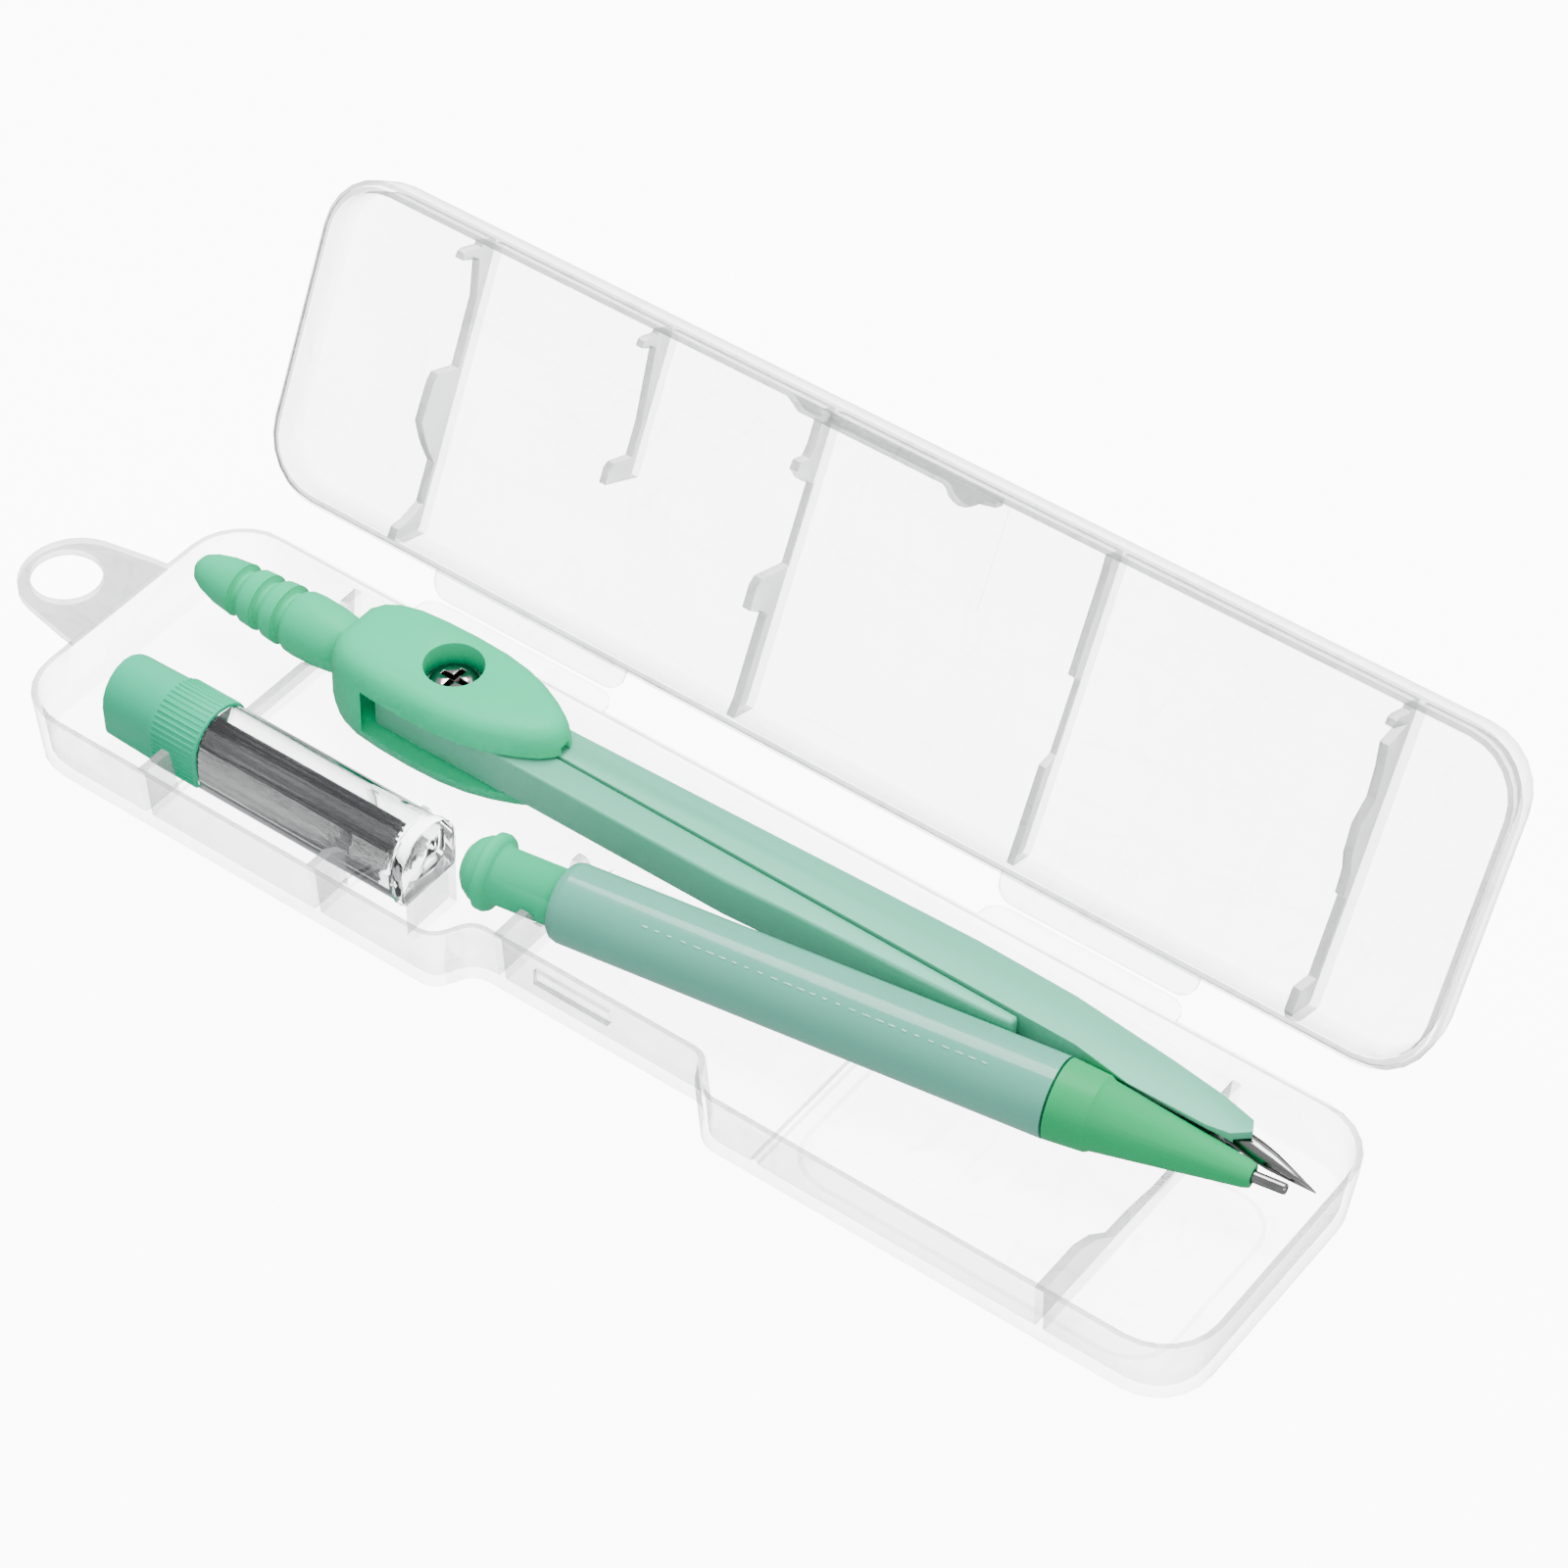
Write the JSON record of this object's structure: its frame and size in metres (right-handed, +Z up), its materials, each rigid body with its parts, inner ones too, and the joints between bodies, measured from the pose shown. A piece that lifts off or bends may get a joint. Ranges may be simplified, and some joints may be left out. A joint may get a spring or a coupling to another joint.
{
  "type": "drafting compass set",
  "caption": "School drafting compass with a clutch pencil and a lead box, lying in a flat clear case with a living-hinged lid and hanging tab.",
  "frame": {"origin": "middle of the tray's plan outline, on the tray's underside", "axes": "+Z up, +X towards the compass points, -X the hanging tab, -Y the latch side, +Y the lid's hinge"},
  "size_m": [0.1897, 0.0717, 0.0526],
  "materials": {
    "case_plastic": "translucent satin",
    "mint_plastic": "satin",
    "barrel_plastic": "satin",
    "cone_plastic": "satin",
    "leg_paint": "satin",
    "bright_steel": "polished",
    "dull_steel": "satin",
    "brass": "satin",
    "clear_plastic": "clear moulded plastic",
    "cap_plastic": "satin",
    "graphite": "graphite"
  },
  "bodies": {
    "tray": {"case_tray": "case_plastic"},
    "lid": {"case_lid": "case_plastic"},
    "compass_head": {"head_yoke": "mint_plastic", "handle": "mint_plastic", "pivot_screw": "bright_steel", "pivot_nut": "dull_steel"},
    "needle_arm": {"needle_leg": "leg_paint", "needle_strip": "dull_steel", "needle": "bright_steel"},
    "pencil_arm": {"pencil_leg": "leg_paint", "pencil_barrel": "barrel_plastic", "pencil_cone": "cone_plastic", "pencil_sleeve": "bright_steel", "clutch_ring": "bright_steel", "return_spring": "bright_steel"},
    "clutch": {"push_button": "barrel_plastic", "lead_tube": "dull_steel", "clutch_coupler": "brass", "clutch_jaws": "brass", "pencil_lead": "graphite"},
    "lead_box": {"lead_box_tube": "clear_plastic", "spare_lead_01": "graphite", "spare_lead_02": "graphite", "spare_lead_03": "graphite", "spare_lead_04": "graphite", "spare_lead_05": "graphite", "spare_lead_06": "graphite", "spare_lead_07": "graphite", "spare_lead_08": "graphite", "spare_lead_09": "graphite"},
    "lead_cap": {"lead_box_cap": "cap_plastic"}
  },
  "joints": [
    {"name": "lid_hinge", "type": "hinge", "parent": "tray", "child": "lid", "pos_m": [0, 0.02492, 0.01011], "axis": [-1, 0, 0], "range_deg": [-114.75, 60]},
    {"name": "compass_lift", "type": "slide", "parent": "tray", "child": "compass_head", "axis": [0, 0, 1], "range_m": [0, 0.25]},
    {"name": "needle_leg_swing", "type": "hinge", "parent": "compass_head", "child": "needle_arm", "pos_m": [-0.0435, 0.0129, 0], "axis": [0, 0, 1], "range_deg": [0, 30]},
    {"name": "pencil_leg_swing", "type": "hinge", "parent": "compass_head", "child": "pencil_arm", "pos_m": [-0.0435, 0.0129, 0], "axis": [0, 0, 1], "range_deg": [-30, 0]},
    {"name": "button_press", "type": "slide", "parent": "pencil_arm", "child": "clutch", "axis": [0.9882, 0.1533, 0], "range_m": [0, 0.0025], "stiffness_N_per_m": 350},
    {"name": "lead_box_lift", "type": "slide", "parent": "tray", "child": "lead_box", "axis": [0, 0, 1], "range_m": [0, 0.06]},
    {"name": "lead_cap_pull", "type": "slide", "parent": "lead_box", "child": "lead_cap", "axis": [-1, 0, 0], "range_m": [0, 0.0065]}
  ],
  "couplings": [
    {"joint": "needle_leg_swing", "follows": "compass_lift", "rad_per_m": 2.0944},
    {"joint": "pencil_leg_swing", "follows": "compass_lift", "rad_per_m": -2.0944}
  ]
}
